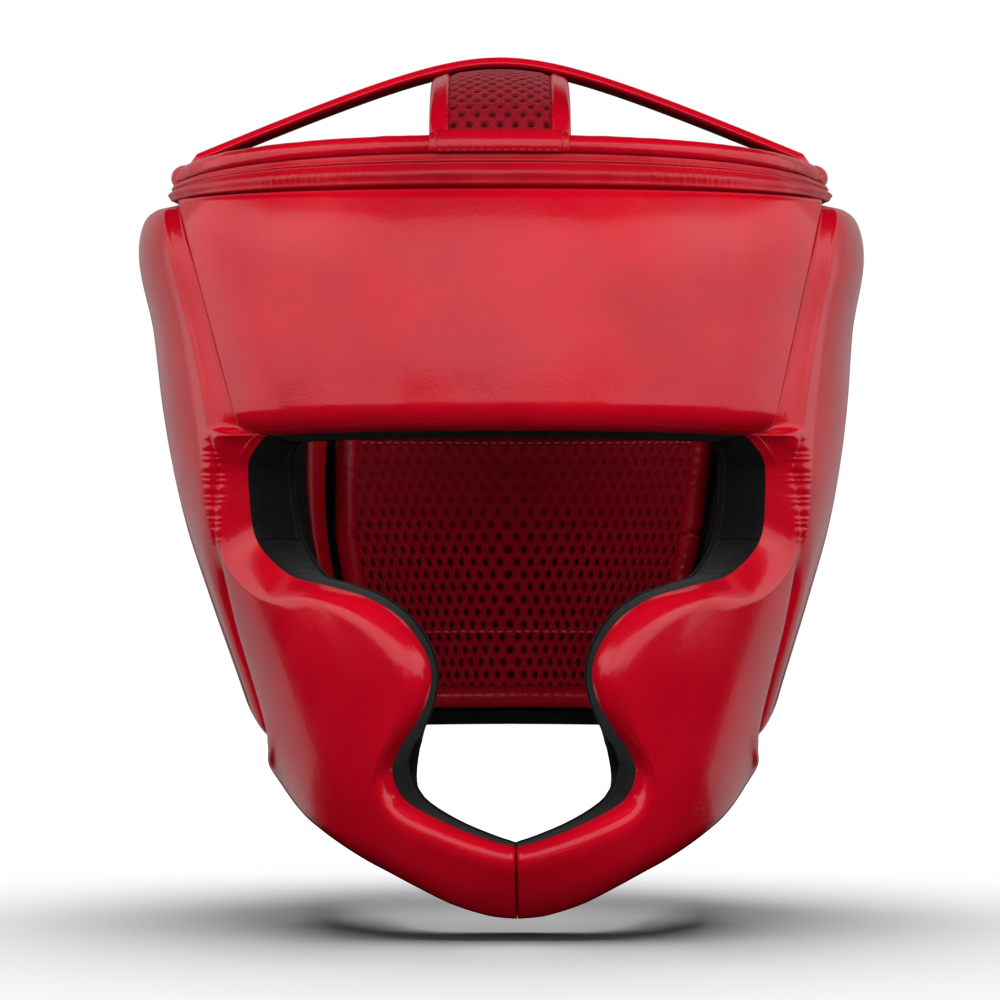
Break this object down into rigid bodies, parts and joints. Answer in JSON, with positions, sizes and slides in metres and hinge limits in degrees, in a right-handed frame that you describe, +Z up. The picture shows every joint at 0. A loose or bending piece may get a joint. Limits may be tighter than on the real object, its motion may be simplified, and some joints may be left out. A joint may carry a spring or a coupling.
{
  "type": "boxing headgear",
  "caption": "Full-face padded headgear with cheek, chin and ear pads, an open crown with two straps, and a rear flap that swings open under a peel-off closure strap.",
  "frame": {"origin": "centre of the head cavity at eye level", "axes": "-Y out of the face opening, +X to the wearer's left, +Z up to the crown"},
  "size_m": [0.2403, 0.2547, 0.2788],
  "materials": {
    "leather": "glossy synthetic leather",
    "lining": "brushed suede-like lining",
    "foam": "closed-cell foam sheet",
    "mesh": "spacer mesh",
    "webbing": "woven tape",
    "loop_tape": "brushed loop tape",
    "hook_tape": "moulded hook tape"
  },
  "bodies": {
    "root": {"forehead_cover": "leather", "forehead_foam": "foam", "forehead_lining": "lining", "cheek_cover_left": "leather", "cheek_foam_left": "foam", "cheek_lining_left": "lining", "cheek_cover_right": "leather", "cheek_foam_right": "foam", "cheek_lining_right": "lining", "ear_pad_cover_left": "leather", "ear_pad_foam_left": "foam", "ear_pad_lining_left": "lining", "ear_pad_cover_right": "leather", "ear_pad_foam_right": "foam", "ear_pad_lining_right": "lining", "ear_hole_binding_left": "leather", "ear_hole_binding_right": "leather", "wing_cover_left": "leather", "wing_foam_left": "foam", "wing_lining_left": "lining", "wing_cover_right": "leather", "wing_foam_right": "foam", "wing_lining_right": "lining", "wing_edge_binding": "leather", "wing_loop_patch": "loop_tape", "rim_band": "leather", "rim_binding": "leather", "arch_strap_top": "leather", "arch_strap_core": "foam", "arch_strap_underside": "leather", "crown_strap_mesh": "mesh", "crown_strap_core": "foam", "crown_strap_lining": "lining", "crown_strap_binding_left": "leather", "crown_strap_binding_right": "leather", "crown_strap_front_tab": "leather"},
    "crown_tail": {"crown_tail_webbing": "webbing", "crown_tail_hook_patch": "hook_tape"},
    "rear_flap": {"flap_cover": "leather", "flap_foam": "foam", "flap_lining": "lining", "flap_mesh_pad": "mesh", "flap_pad_binding": "leather", "flap_loop_patch": "loop_tape", "closure_base": "leather"},
    "closure": {"closure_strap": "webbing", "closure_hook_patch": "hook_tape", "closure_pull_tab": "leather"}
  },
  "joints": [
    {"name": "rear_flap_swing", "type": "hinge", "parent": "root", "child": "rear_flap", "pos_m": [0.09194, 0.06751, 0], "axis": [-0.1522, -0.1321, -0.9795], "range_deg": [0, 70]},
    {"name": "closure_peel", "type": "hinge", "parent": "rear_flap", "child": "closure", "pos_m": [-0.0379, 0.1165, -0.004], "axis": [0.1113, -0.1855, -0.9763], "range_deg": [0, 110]},
    {"name": "crown_tail_release", "type": "hinge", "parent": "root", "child": "crown_tail", "pos_m": [0, 0.089, 0.0967], "axis": [-1, 0, 0], "range_deg": [0, 25]}
  ]
}
